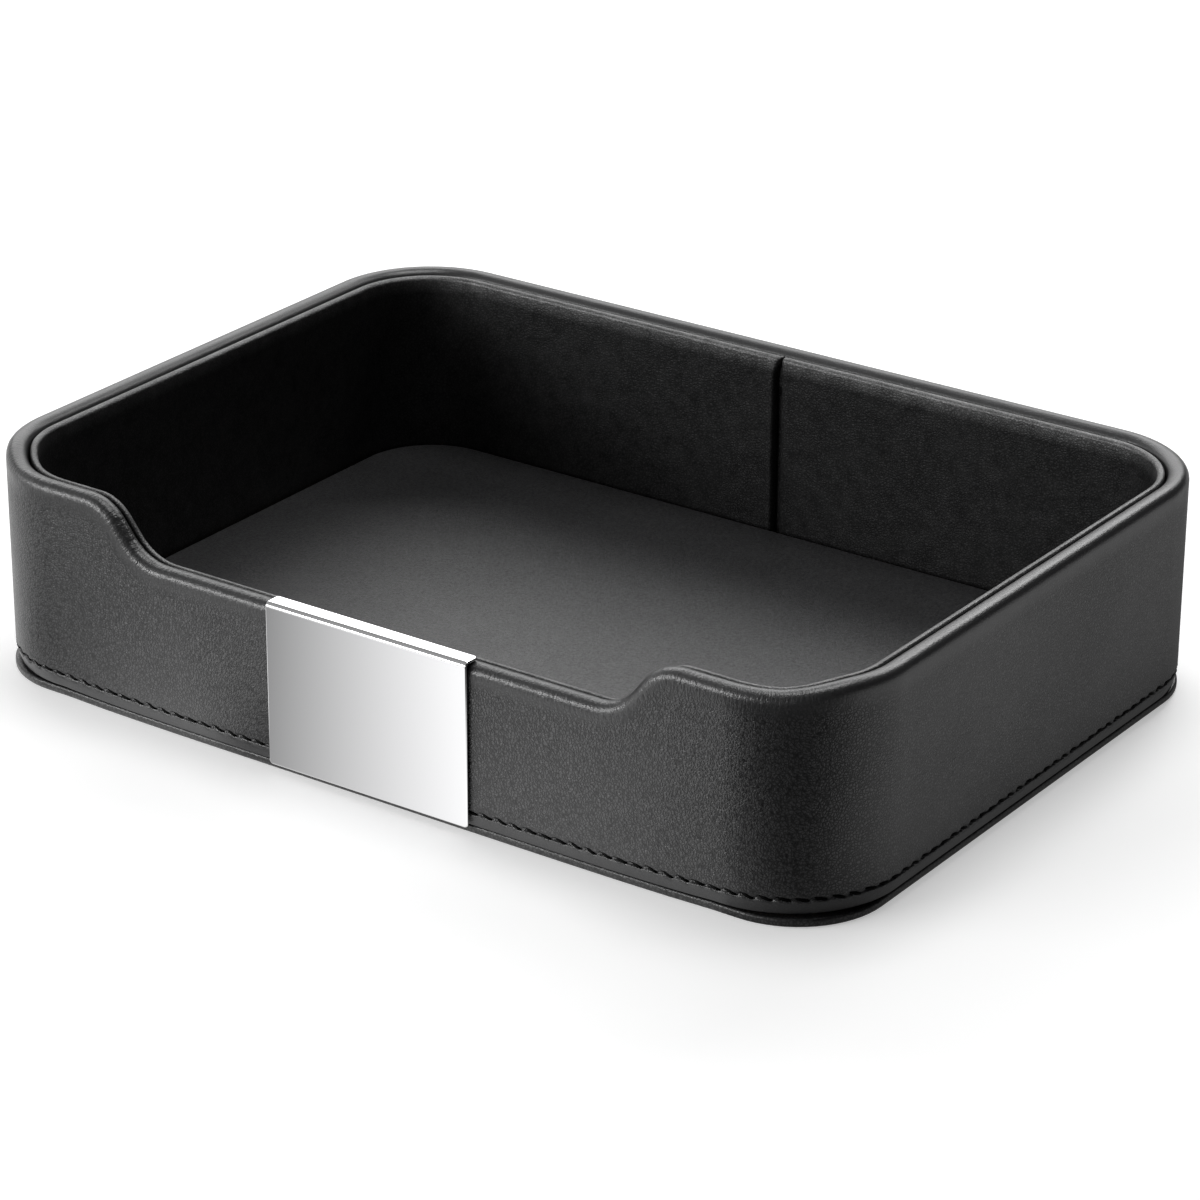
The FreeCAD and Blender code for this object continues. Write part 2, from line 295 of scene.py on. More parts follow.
def grained_leather(name, dark, pale, roughness, gloss, grain, depth, mottle, crinkled=False,
                    burnished=0.0):
    """Coated black leather, embossed: soft pebbles between fine creases.

    To the eye it has a low sheen that thin crease lines break up; the creases are darker in colour and in
    specular level, which is painted shade. Crinkled leather is stretched over a roll, where it gathers in
    short crinkles square to the rim. Burnished leather has an edge rubbed to a shine.
    """
    material, tree, shader = new_material(name)
    place = add(tree, "ShaderNodeTexCoord", "Object")
    fine = add(tree, "ShaderNodeTexNoise", "Fac",
               {"Vector": place, "Scale": per_metre(grain / 2), "Detail": 3.0, "Roughness": 0.6})
    drift = add(tree, "ShaderNodeTexNoise", "Color", {"Vector": place, "Scale": per_metre(2 * grain)})
    bent = add(tree, "ShaderNodeVectorMath", "Vector", {0: drift, 1: (grain * MM,) * 3, 2: place},
               operation="MULTIPLY_ADD")
    pebble = add(tree, "ShaderNodeTexVoronoi", "Distance", {"Vector": bent, "Scale": per_metre(grain)},
                 feature="DISTANCE_TO_EDGE")
    groove = add(tree, "ShaderNodeMapRange", "Result",
                 {"Value": pebble, "From Max": 0.28, "To Min": 1.0, "To Max": 0.0})
    swell = add(tree, "ShaderNodeTexNoise", "Fac",
                {"Vector": place, "Scale": per_metre(26), "Detail": 1.0})
    uneven = add(tree, "ShaderNodeTexNoise", "Fac", {"Vector": place, "Scale": per_metre(40)})
    pressed = add(tree, "ShaderNodeMapRange", "Result",
                  {"Value": uneven, **NOISE_MIDDLE, "To Min": 0.75, "To Max": 1.0})
    if crinkled:
        smooth = add(tree, "ShaderNodeAttribute", "Fac", attribute_name="smooth")
        rough = add(tree, "ShaderNodeMath", "Value", {0: 1.0, 1: smooth}, operation="SUBTRACT")
        pressed = add(tree, "ShaderNodeMath", "Value", {0: pressed, 1: rough}, operation="MULTIPLY")
    crease = add(tree, "ShaderNodeMath", "Value", {0: groove, 1: pressed}, operation="MULTIPLY")
    height = add(tree, "ShaderNodeMath", "Value", {0: fine, 1: depth / 2}, operation="MULTIPLY")
    height = add(tree, "ShaderNodeMath", "Value", {0: crease, 1: -depth, 2: height},
                 operation="MULTIPLY_ADD")
    height = add(tree, "ShaderNodeMath", "Value", {0: swell, 1: 0.25, 2: height}, operation="MULTIPLY_ADD")
    cloud = add(tree, "ShaderNodeTexNoise", "Fac",
                {"Vector": place, "Scale": per_metre(5), "Detail": 5.0, "Roughness": 0.7})
    shine = add(tree, "ShaderNodeMath", "Value", {0: cloud, 1: mottle, 2: 0.6 - mottle / 2},
                operation="MULTIPLY_ADD")
    # Less specular in the creases: painted shade
    shine = add(tree, "ShaderNodeMath", "Value", {0: crease, 1: -0.3, 2: shine}, operation="MULTIPLY_ADD")
    if crinkled:
        along = add(tree, "ShaderNodeAttribute", "Fac", attribute_name="along")
        across = add(tree, "ShaderNodeAttribute", "Fac", attribute_name="across")
        gathered = add(tree, "ShaderNodeAttribute", "Fac", attribute_name="gathered")
        drawn = add(tree, "ShaderNodeMath", "Value", {0: across, 1: 0.3}, operation="MULTIPLY")
        spot = add(tree, "ShaderNodeCombineXYZ", "Vector", {"X": along, "Y": drawn})
        gather = add(tree, "ShaderNodeTexNoise", "Fac",
                     {"Vector": spot, "Scale": per_metre(0.7), "Roughness": 0.6})
        crinkle = add(tree, "ShaderNodeMath", "Value", {0: gather, 1: gathered}, operation="MULTIPLY")
        height = add(tree, "ShaderNodeMath", "Value", {0: crinkle, 1: 0.22, 2: height},
                     operation="MULTIPLY_ADD")
        shine = add(tree, "ShaderNodeMath", "Value", {0: smooth, 1: -0.12, 2: shine},
                    operation="MULTIPLY_ADD")
    haze = add(tree, "ShaderNodeTexNoise", "Fac",
               {"Vector": place, "Scale": per_metre(35), "Detail": 4.0, "Roughness": 0.6})
    dull = add(tree, "ShaderNodeMapRange", "Result",
               {"Value": haze, **NOISE_MIDDLE, "To Min": roughness - 0.03, "To Max": roughness + 0.04})
    rim = add(tree, "ShaderNodeAttribute", "Fac", attribute_name="rim")
    dull = add(tree, "ShaderNodeMath", "Value", {0: rim, 1: -0.04, 2: dull}, operation="MULTIPLY_ADD")
    # The base colour is darker in the creases: painted shade
    colour = add(tree, "ShaderNodeMix", COLOUR_RESULT,
                 {"Factor": crease, COLOUR_A: linear(pale), COLOUR_B: linear(dark)}, data_type="RGBA")
    bump = add(tree, "ShaderNodeBump", "Normal", {"Height": height, "Strength": 1.0, "Distance": MM})
    shader.inputs["IOR"].default_value = gloss
    if burnished:
        edge = add(tree, "ShaderNodeMath", "Value", {0: rim, 1: burnished, 2: gloss},
                   operation="MULTIPLY_ADD")
        tree.links.new(edge, shader.inputs["IOR"])
    tree.links.new(colour, shader.inputs["Base Color"])
    tree.links.new(shine, shader.inputs["Specular IOR Level"])
    tree.links.new(dull, shader.inputs["Roughness"])
    tree.links.new(bump, shader.inputs["Normal"])
    return material


def floor_covering():
    """Flock paper on card: dull black with short fibres and a few pale specks of lint."""
    material, tree, shader = new_material("flock_paper_black")
    place = add(tree, "ShaderNodeTexCoord", "Object")
    nap = add(tree, "ShaderNodeTexNoise", "Fac",
              {"Vector": place, "Scale": per_metre(0.6), "Detail": 4.0, "Roughness": 0.75})
    fibre = add(tree, "ShaderNodeMapRange", "Result", {"Value": nap, **NOISE_MIDDLE})
    speck = add(tree, "ShaderNodeTexVoronoi", "Distance", {"Vector": place, "Scale": per_metre(9)})
    lint = add(tree, "ShaderNodeMapRange", "Result",
               {"Value": speck, "From Min": 0.02, "From Max": 0.05, "To Min": 1.0, "To Max": 0.0})
    cloth = add(tree, "ShaderNodeMix", COLOUR_RESULT,
                {"Factor": fibre, COLOUR_A: linear("#101011"), COLOUR_B: linear("#363637")},
                data_type="RGBA")
    colour = add(tree, "ShaderNodeMix", COLOUR_RESULT,
                 {"Factor": lint, COLOUR_A: cloth, COLOUR_B: linear("#3c3c3d")}, data_type="RGBA")
    shine = add(tree, "ShaderNodeMath", "Value", {0: fibre, 1: 0.5, 2: 0.25}, operation="MULTIPLY_ADD")
    brushed = add(tree, "ShaderNodeTexNoise", "Fac",
                  {"Vector": place, "Scale": per_metre(28), "Detail": 3.0})
    dull = add(tree, "ShaderNodeMapRange", "Result",
               {"Value": brushed, **NOISE_MIDDLE, "To Min": 0.4, "To Max": 0.46})
    bump = add(tree, "ShaderNodeBump", "Normal", {"Height": fibre, "Strength": 1.0, "Distance": 0.06 * MM})
    shader.inputs["IOR"].default_value = 1.57
    tree.links.new(colour, shader.inputs["Base Color"])
    tree.links.new(shine, shader.inputs["Specular IOR Level"])
    tree.links.new(dull, shader.inputs["Roughness"])
    tree.links.new(bump, shader.inputs["Normal"])
    return material


def mirror_steel():
    """Polished stainless steel: a mirror with the faintest haze from the buffing wheel."""
    material, tree, shader = new_material("polished_stainless_steel")
    place = add(tree, "ShaderNodeTexCoord", "Object")
    buffing = add(tree, "ShaderNodeTexNoise", "Fac",
                  {"Vector": place, "Scale": per_metre(12), "Detail": 3.0})
    haze = add(tree, "ShaderNodeMapRange", "Result",
               {"Value": buffing, **NOISE_MIDDLE, "To Min": 0.05, "To Max": 0.09})
    shader.inputs["Base Color"].default_value = linear("#ececed")
    shader.inputs["Metallic"].default_value = 1.0
    tree.links.new(haze, shader.inputs["Roughness"])
    return material


def waxed_thread():
    """Waxed thread: black strands twisted together, dull, with a small glint on each strand. Its specular
    level is kept so low that it stays as dark as the shade in its stitch holes: painted shade.
    """
    material, tree, shader = new_material("waxed_thread_black")
    place = add(tree, "ShaderNodeTexCoord", "Object")
    twist = add(tree, "ShaderNodeTexNoise", "Fac", {"Vector": place, "Scale": per_metre(0.35)})
    bump = add(tree, "ShaderNodeBump", "Normal", {"Height": twist, "Strength": 0.6, "Distance": 0.08 * MM})
    shader.inputs["Base Color"].default_value = linear("#030303")
    # Painted shade: a specular level far below wax's keeps the thread as dark as the shade in its holes
    shader.inputs["Specular IOR Level"].default_value = 0.05
    shader.inputs["Roughness"].default_value = 0.5
    tree.links.new(bump, shader.inputs["Normal"])
    return material


def board(name, dark, pale, fibre_size):
    """Raw board, felt or foam: a dull colour with fibres of mixed tone."""
    material, tree, shader = new_material(name)
    place = add(tree, "ShaderNodeTexCoord", "Object")
    fibre = add(tree, "ShaderNodeTexNoise", "Fac",
                {"Vector": place, "Scale": per_metre(fibre_size), "Detail": 5.0, "Roughness": 0.7})
    colour = add(tree, "ShaderNodeMix", COLOUR_RESULT,
                 {"Factor": fibre, COLOUR_A: linear(dark), COLOUR_B: linear(pale)}, data_type="RGBA")
    bump = add(tree, "ShaderNodeBump", "Normal", {"Height": fibre, "Strength": 0.4, "Distance": 0.1 * MM})
    shader.inputs["Roughness"].default_value = 0.85
    tree.links.new(colour, shader.inputs["Base Color"])
    tree.links.new(bump, shader.inputs["Normal"])
    return material


def outline_place(half_length, half_depth, radius):
    """A route round a rounded rectangle from the middle of the back, to the left first.

    Gives its length and a function from a distance along it to a place whose X axis follows the route
    and whose Y axis points to the inside. Past its ends the route runs on straight.
    """
    straight_x = half_length - radius
    straight_y = half_depth - radius
    bend = radius * math.pi / 2
    runs = (straight_x, 2 * straight_y, 2 * straight_x, 2 * straight_y, straight_x)
    length = sum(runs) + 4 * bend
    pivot = Matrix.Translation((0, radius, 0))

    def place(distance):
        spot = Matrix.Translation((0, half_depth, 0)) @ Matrix.Rotation(math.pi, 4, "Z")
        left = min(distance, length)
        for run in runs:
            step = min(left, run)
            spot = spot @ Matrix.Translation((step, 0, 0))
            left -= step
            if left <= 0:
                break
            turn = min(left, bend)
            spot = spot @ pivot @ Matrix.Rotation(turn / radius, 4, "Z") @ pivot.inverted()
            left -= turn
        return spot @ Matrix.Translation((max(0.0, distance - length), 0, 0))

    return length, place


wall_length, wall_place = outline_place(HALF_LENGTH, HALF_DEPTH, CORNER_RADIUS)
STITCH_PITCH = wall_length / STITCH_COUNT

# Turns the route so that it starts in the middle of the front
FROM_FRONT = Matrix.Rotation(math.pi, 4, "Z")


def arc(centre, radius, start, end, steps):
    """Points of an arc in a section, from one angle in degrees to another."""
    points = []
    for k in range(steps + 1):
        angle = math.radians(start + (end - start) * k / steps)
        points.append((centre[0] + radius * math.cos(angle), centre[1] + radius * math.sin(angle)))
    return points


def sweep(section, places):
    """Carries a section of (inset, level) points through a row of places, as one sheet of faces.

    Each point keeps the number of its column, and how far along the section it lies for its material.
    """
    columns = len(places) - 1
    rows = len(section) - 1
    travelled = [0.0]
    for before, after in zip(section, section[1:]):
        travelled.append(travelled[-1] + (Vector(after) - Vector(before)).length)
    bm = bmesh.new()
    column = bm.verts.layers.int.new("column")
    across = bm.verts.layers.float.new("across")
    bmesh.ops.create_grid(bm, x_segments=columns, y_segments=rows, size=0.5)
    for vert in bm.verts:
        number = round((vert.co.x + 0.5) * columns)
        row = round((vert.co.y + 0.5) * rows)
        vert[column] = number
        vert[across] = travelled[row]
        vert.co = places[number] @ Vector((0, *section[row]))
    return bm, column


def rim_line(x):
    """Level of the front rim at a place along it, and the slope of the rim there."""
    rise = EAR_LEVEL - DIP_LEVEL - 2 * SHOULDER_RADIUS * (1 - math.cos(SHOULDER_ANGLE))
    bend = SHOULDER_RADIUS * math.sin(SHOULDER_ANGLE)
    run = 2 * bend + rise / math.tan(SHOULDER_ANGLE)
    low = DIP_HALF_WIDTH - run / 2
    high = DIP_HALF_WIDTH + run / 2
    away = abs(x)
    if away <= low:
        return DIP_LEVEL, 0.0
    if away >= high:
        return EAR_LEVEL, 0.0
    if away < low + bend:
        slope = math.asin((away - low) / SHOULDER_RADIUS)
        return DIP_LEVEL + SHOULDER_RADIUS * (1 - math.cos(slope)), math.copysign(slope, x)
    if away > high - bend:
        slope = math.asin((high - away) / SHOULDER_RADIUS)
        return EAR_LEVEL - SHOULDER_RADIUS * (1 - math.cos(slope)), math.copysign(slope, x)
    level = DIP_LEVEL + SHOULDER_RADIUS * (1 - math.cos(SHOULDER_ANGLE))
    return level + (away - low - bend) * math.tan(SHOULDER_ANGLE), math.copysign(SHOULDER_ANGLE, x)


def dip_front(bm):
    """Lowers the front of a swept wall to the dip and the ears: the roll stays square to the rim."""
    roll_level = RIM_TOP - ROLL_DEPTH
    for vert in bm.verts:
        x, y, z = vert.co
        if y > -HALF_DEPTH + CORNER_RADIUS or z < STEADY_LEVEL:
            continue
        level, slope = rim_line(x)
        beside = abs(x) - HALF_LENGTH + CORNER_RADIUS
        if beside > 0:
            turn = math.atan2(beside, CORNER_RADIUS - HALF_DEPTH - y)
            climb = clamped((turn - EAR_CLIMB_START) / (EAR_CLIMB_END - EAR_CLIMB_START))
            level += EAR_DROP * eased(climb)
        roll = min(RIM_TOP - z, ROLL_DEPTH)
        shift = roll * math.sin(slope)
        top = level - roll * math.cos(slope)
        if z >= roll_level:
            vert.co = (x + shift, y, top)
            continue
        share = (z - STEADY_LEVEL) / (roll_level - STEADY_LEVEL)
        vert.co = (x + shift * share * share, y, STEADY_LEVEL + (top - STEADY_LEVEL) * share)


def face_outwards(bm):
    """Turns a swept shell so that its faces look away from the board that it covers."""
    bmesh.ops.recalc_face_normals(bm, faces=bm.faces[:])
    outermost = max(bm.faces, key=lambda face: face.calc_center_median().x)
    if outermost.normal.x < 0:
        bmesh.ops.reverse_faces(bm, faces=bm.faces[:])


def hem_inset(level):
    """How far the outer face has turned in at a level; it turns in only below the hem's turn."""
    drop = max(0.0, HEM_TURN - level)
    return HEM_RADIUS - math.sqrt(HEM_RADIUS ** 2 - drop ** 2)


def sag_share(x, y):
    """How much the leather sags at a place: most in the middle of the front and only along it."""
    if y > -HALF_DEPTH + CORNER_RADIUS / 2:
        return 0.0
    return max(0.0, 1 - (x / SAG_REACH) ** 6)


def sag(level):
    """How far the leather sags at a level where it sags fully: the stitched row more than the edge."""
    if level > STITCH_LEVEL + FURROW_ROWS[-1] * MM:
        left = STEADY_LEVEL - STITCH_LEVEL - FURROW_ROWS[-1] * MM
        return STITCH_SAG * max(0.0, (STEADY_LEVEL - level) / left)
    up = min(1.0, (level - HEM_BOTTOM) / (STITCH_LEVEL + FURROW_ROWS[0] * MM - HEM_BOTTOM))
    return HEM_SAG + (STITCH_SAG - HEM_SAG) * up


def wander(number):
    """Level and slope of one stitch, which differ a little from stitch to stitch."""
    return STITCH_WANDER * math.sin(2.4 * number), STITCH_SLOPE * (1 + 0.3 * math.sin(5.1 * number))


def furrow(number, away, level):
    """Depth of the stitched furrow at a distance along from a stitch's middle and at a level.

    The furrow follows the slanted stitch and runs back to the next one between them.
    """
    rise, slope = wander(number)
    gap = abs(away) / STITCH_PITCH
    grip = clamped((GRIP_END - gap) / GRIP_FADE)
    reach = min(gap, SLANT_END) * min(1.0, (0.5 - gap) / (0.5 - SLANT_END))
    tilt = math.copysign(reach * STITCH_PITCH, away) * slope
    off = (level - STITCH_LEVEL - rise + tilt) / MM
    pit = (PIT_DEPTH + PIT_GRIP * grip) * math.exp(-(off / PIT_HALF_WIDTH) ** 2)
    swell = SWELL_HEIGHT + SWELL_GRIP * grip
    lower = swell * math.exp(-((off + SWELL_OFFSET) / SWELL_HALF_WIDTH) ** 2)
    upper = UPPER_SWELL * swell * math.exp(-((off - SWELL_OFFSET) / SWELL_HALF_WIDTH) ** 2)
    return (pit - lower - upper) * MM


def wall_wrap(material):
    """The outer leather: from under the hem, up the wall, over the rim and down behind the lining."""
    edge_level = HEM_BOTTOM + HEM_EDGE
    section = [(WALL_THICKNESS, HEM_BOTTOM), (HEM_UNDER, HEM_BOTTOM)]
    section += arc((hem_inset(edge_level) + HEM_EDGE, edge_level), HEM_EDGE, 270, 180, 4)
    levels = [level * MM for level in HEM_LEVELS]
    levels += [STITCH_LEVEL + row * MM for row in FURROW_ROWS]
    levels += [level * MM for level in WALL_LEVELS]
    section += [(hem_inset(level), level) for level in levels]
    roll = RIM_TOP - RIM_RADIUS
    section += arc((RIM_RADIUS, roll), RIM_RADIUS, 180, 90, 6)
    section += arc((WALL_THICKNESS - RIM_RADIUS, roll), RIM_RADIUS, 90, 0, 6)
    section += [(WALL_THICKNESS, level * MM) for level in TURN_IN_LEVELS]
    section.append((WALL_THICKNESS, TURN_IN_END))

    # The route starts and ends in the middle of the front, behind the plate.
    distances = [SEAM_GAP / 2, SEAM_GAP / 2 + SEAM_EDGE]
    distances += [(k + part) * STITCH_PITCH for k in range(1, STITCH_COUNT) for part in STITCH_COLUMNS]
    distances += [wall_length - SEAM_GAP / 2 - SEAM_EDGE, wall_length - SEAM_GAP / 2]
    places = [FROM_FRONT @ wall_place(distance) for distance in distances]
    bm, column = sweep(section, places)
    along = bm.verts.layers.float.new("along")
    rim = bm.verts.layers.float.new("rim")
    gathered = bm.verts.layers.float.new("gathered")
    smooth = bm.verts.layers.float.new("smooth")
    lowest = STITCH_LEVEL + FURROW_ROWS[0] * MM
    highest = STITCH_LEVEL + FURROW_ROWS[-1] * MM
    for vert in bm.verts:
        number = vert[column]
        level = vert.co.z
        vert[along] = distances[number]
        vert[rim] = clamped(1 - (RIM_TOP - level - RIM_STRETCH) / RIM_FADE)
        pulled = math.exp(-((level - STITCH_LEVEL + PULL_OFFSET) / PULL_SPREAD) ** 2)
        vert[gathered] = vert[rim] * clamped((-vert.co.y - GATHER_START) / GATHER_RUN) + pulled
        vert[smooth] = STRETCHED_SMOOTH * max(vert[rim], clamped((HEM_STRETCH - level) / HEM_FADE))
        if level < STEADY_LEVEL:
            share = sag_share(vert.co.x, vert.co.y)
            vert.co.y -= HEM_BULGE * share * clamped(1 - (level - HEM_BOTTOM) / BULGE_HEIGHT)
            vert.co.z -= sag(level) * share
        if lowest <= level <= highest:
            stitch = math.floor(distances[number] / STITCH_PITCH + 0.5)
            inward = places[number].col[1].to_3d()
            vert.co += inward * furrow(stitch, distances[number] - stitch * STITCH_PITCH, level)
    dip_front(bm)
    face_outwards(bm)
    piece = link("wall_wrap", bm, material, "outer_wrap")
    give_thickness(piece, LEATHER)


def lining_wrap(material):
    """The inner leather: up from the floor, over its own thin edge, with an open seam at the back."""
    foot = lining_low.z
    top = lining_high.z
    inner = LINING_OUTER + LINING_THICKNESS
    levels = [foot + (top - LINING_ROUND - foot) * k / LINING_ROWS for k in range(LINING_ROWS)]
    section = [(inner, level) for level in levels]
    soft = LINING_THICKNESS - LINING_EDGE
    for inset, level in arc((0, 0), 1, 0, 90, 9):
        section.append((inner - soft + soft * inset, top - LINING_ROUND + LINING_ROUND * level))
    section += arc((LINING_OUTER + LINING_EDGE, top - LINING_EDGE), LINING_EDGE, 105, 180, 5)
    for k in range(1, LINING_TURN_ROWS + 1):
        section.append((LINING_OUTER, top - LINING_EDGE - LINING_TURN_IN * k / LINING_TURN_ROWS))

    # The route starts and ends in the middle of the back, and its columns are close at the seam.
    rounded_end = LIP_START + LIP_ROUND
    lip = [LIP_START + LIP_ROUND * (k / LIP_ROUND_STEPS) ** 2 for k in range(LIP_ROUND_STEPS + 1)]
    lip += [rounded_end + (LIP_WIDTH - LIP_ROUND) * k / LIP_STEPS for k in range(1, LIP_STEPS + 1)]
    tail_start = wall_length - TAIL_START
    tail = [tail_start + (TAIL_START + TAIL_END) * k / TAIL_STEPS for k in range(TAIL_STEPS + 1)]
    count = round((tail[0] - lip[-1]) / LINING_COLUMN)
    steady = [lip[-1] + (tail[0] - lip[-1]) * k / count for k in range(1, count)]
    distances = lip + steady + tail
    places = [wall_place(distance) for distance in distances]
    bm, column = sweep(section, places)
    rim = bm.verts.layers.float.new("rim")
    for vert in bm.verts:
        vert[rim] = clamped(1 - (top - vert.co.z - LINING_SHEEN) / LINING_FADE)
        distance = distances[vert[column]]
        step = distance - LIP_START
        inset = HALF_DEPTH - vert.co.y
        share = (inset - LINING_OUTER) / LINING_THICKNESS
        if step < LIP_WIDTH:
            # The left edge is a soft nose that stands a little proud and leans over the seam at the top.
            rise = LIP_RISE * (1 - step / LIP_WIDTH) ** 2
            if step < LIP_ROUND:
                turn = 1 - step / LIP_ROUND
                rise -= (LINING_THICKNESS + LIP_RISE) * (1 - math.sqrt(1 - turn * turn))
            near_top = clamped(1 - (top - vert.co.z) / LEAN_DEPTH)
            vert.co.y -= rise * share
            vert.co.x += LIP_LEAN * near_top ** 2 * (1 - step / LIP_WIDTH)
        elif distance > tail[0]:
            # The right edge dives into the groove behind the left one.
            dive = eased(clamped((distance - tail[0]) / TAIL_DIVE))
            seat = TAIL_SEAT + TAIL_TILT * share
            vert.co.y = HALF_DEPTH - (inset + (seat - inset) * dive)
            vert.co.z -= TAIL_DROP * dive * clamped(1 - (top - vert.co.z) / TAIL_DROP_DEPTH)
    dip_front(bm)
    face_outwards(bm)
    piece = link("lining_wrap", bm, material, "lining")
    give_thickness(piece, LINING_LEATHER)


def wall_boards(fibre, grey):
    """The stiff band inside the outer wrap and the card inside the lining, cut to the same rim."""
    card_start = LIP_START + LIP_WIDTH
    card_end = wall_length - 2 * TAIL_START
    for name, section, start, end, material, node, slot in (
            ("wall_band", BAND_SECTION, 0.0, wall_length, fibre, "outer_wall_board", "fibreboard"),
            ("lining_card", CARD_SECTION, card_start, card_end, grey, "lining_board", "greyboard")):
        count = round((end - start) / BOARD_COLUMN)
        places = [wall_place(start + (end - start) * k / count) for k in range(count + 1)]
        bm = sweep([(inset * MM, level * MM) for inset, level in section], places)[0]
        bmesh.ops.remove_doubles(bm, verts=bm.verts[:], dist=0.01 * MM)
        bmesh.ops.holes_fill(bm, edges=[edge for edge in bm.edges if edge.is_boundary])
        dip_front(bm)
        bmesh.ops.recalc_face_normals(bm, faces=bm.faces[:])
        keep_flats_flat(link(name, bm, material, node))


def hem_stitches(material):
    """Short slanted stitches, sunk in the furrow: rounded thread that dives in at both ends."""
    bm = bmesh.new()
    lie = Matrix.Rotation(math.pi / 2, 4, "Y")
    size = Matrix.Diagonal((STITCH_LENGTH, STITCH_WIDTH, STITCH_WIDTH, 1))
    dive = Matrix.Rotation(STITCH_DIVE, 4, "Z")
    for number in range(STITCH_COUNT):
        spot = FROM_FRONT @ wall_place(number * STITCH_PITCH)
        rise, slope = wander(number)
        level = STITCH_LEVEL + rise - STITCH_SAG * sag_share(spot.translation.x, spot.translation.y)
        seat = Matrix.Translation((0, hem_inset(STITCH_LEVEL) + STITCH_SINK, level))
        slant = Matrix.Rotation(math.atan(slope), 4, "Y")
        made = bmesh.ops.create_uvsphere(bm, u_segments=6, v_segments=6, radius=0.5)["verts"]
        bmesh.ops.transform(bm, matrix=spot @ seat @ slant @ dive @ size @ lie, verts=made)
    link("hem_stitches", bm, material, "hem_thread")


def rounded_pad(low, high, corner, edge, segments):
    """A flat pad on a rounded rectangle with rounded upper and lower edges."""
    bm = bmesh.new()
    corners = [(low.x, low.y), (high.x, low.y), (high.x, high.y), (low.x, high.y)]
    sheet = bm.faces.new([bm.verts.new((x, y, low.z)) for x, y in corners])
    bmesh.ops.bevel(bm, geom=sheet.verts[:], offset=corner, affect="VERTICES", segments=PAD_CORNER_STEPS,
                    profile=0.5, material=-1)
    grown = bmesh.ops.extrude_face_region(bm, geom=bm.faces[:])["geom"]
    lifted = [g for g in grown if isinstance(g, bmesh.types.BMVert)]
    bmesh.ops.translate(bm, vec=(0, 0, high.z - low.z), verts=lifted)
    bmesh.ops.recalc_face_normals(bm, faces=bm.faces[:])
    flat = [e for e in bm.edges if abs(e.verts[0].co.z - e.verts[1].co.z) < 1e-7]
    bmesh.ops.bevel(bm, geom=flat, offset=edge, affect="EDGES", segments=segments, profile=0.5,
                    material=-1)
    return bm


def pads(cover, leather, felt):
    """The well's covered floor, the wrapped base and the felt under it."""
    bm = rounded_pad(floor_low, floor_high, FLOOR_CORNER, FLOOR_EDGE, segments=4)
    keep_flats_flat(link("floor_cover", bm, cover, "floor_lining"))

    # The base's leather is turned under round the felt, and its front edge bows out a little.
    bm = rounded_pad(base_low, base_high, BASE_CORNER, BASE_EDGE, segments=5)
    under = min(bm.faces, key=lambda face: face.calc_center_median().z)
    bmesh.ops.inset_region(bm, faces=[under], thickness=BASE_TURN_IN, depth=base_low.z - felt_high.z)
    for k in range(-BASE_BOW_CUTS, BASE_BOW_CUTS + 1):
        whole = bm.verts[:] + bm.edges[:] + bm.faces[:]
        cut = (k * SAG_REACH / BASE_BOW_CUTS, 0, 0)
        bmesh.ops.bisect_plane(bm, geom=whole, plane_co=cut, plane_no=(1, 0, 0))
    for vert in bm.verts:
        if vert.co.y < base_low.y + BASE_BOW_DEPTH:
            vert.co.y -= BASE_BOW * sag_share(vert.co.x, vert.co.y)
    keep_flats_flat(link("base_cover", bm, leather, "base_wrap"))

    bm = rounded_pad(felt_low, felt_high, FELT_CORNER, FELT_EDGE, segments=2)
    keep_flats_flat(link("felt_pad", bm, felt, "base_felt"))


def bent_plate(material):
    """The mirror plate: a flat blank with softened edges, bent back over the rim."""
    front = plate_high.z - PLATE_BEND - plate_low.z
    bend = PLATE_BEND * math.pi / 2
    flange = plate_high.y - plate_low.y - PLATE_BEND
    blank_low = Vector((plate_low.x, 0, 0))
    blank_high = Vector((plate_high.x, front + bend + flange, PLATE_THICKNESS))
    bm = rounded_pad(blank_low, blank_high, PLATE_CORNER, PLATE_EDGE, segments=3)
    for k in range(PLATE_BEND_STEPS + 1):
        cut = Vector((0, front + bend * k / PLATE_BEND_STEPS, 0))
        whole = bm.verts[:] + bm.edges[:] + bm.faces[:]
        bmesh.ops.bisect_plane(bm, geom=whole, plane_co=cut, plane_no=(0, 1, 0))
    for vert in bm.verts:
        x, run, height = vert.co
        radius = PLATE_BEND - PLATE_THICKNESS + height
        turn = clamped((run - front) / bend) * math.pi / 2
        before = min(0.0, run - front)
        after = max(0.0, run - front - bend)
        y = plate_low.y + PLATE_BEND - radius * math.cos(turn) + after
        z = plate_high.z - PLATE_BEND + radius * math.sin(turn) + before
        vert.co = (x, y, z)
    bmesh.ops.recalc_face_normals(bm, faces=bm.faces[:])
    keep_flats_flat(link("bent_plate", bm, material, "front_plate"))


def dress_nodes(fibre, grey, tape):
    """Finishes for the solids that stay as they are: the tape and the flat boards."""
    for node, material in (("plate_tape", tape), ("bottom_board", fibre), ("floor_board", grey),
                           ("base_board", grey)):
        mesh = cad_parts[node].data
        mesh.materials.clear()
        mesh.materials.append(material)


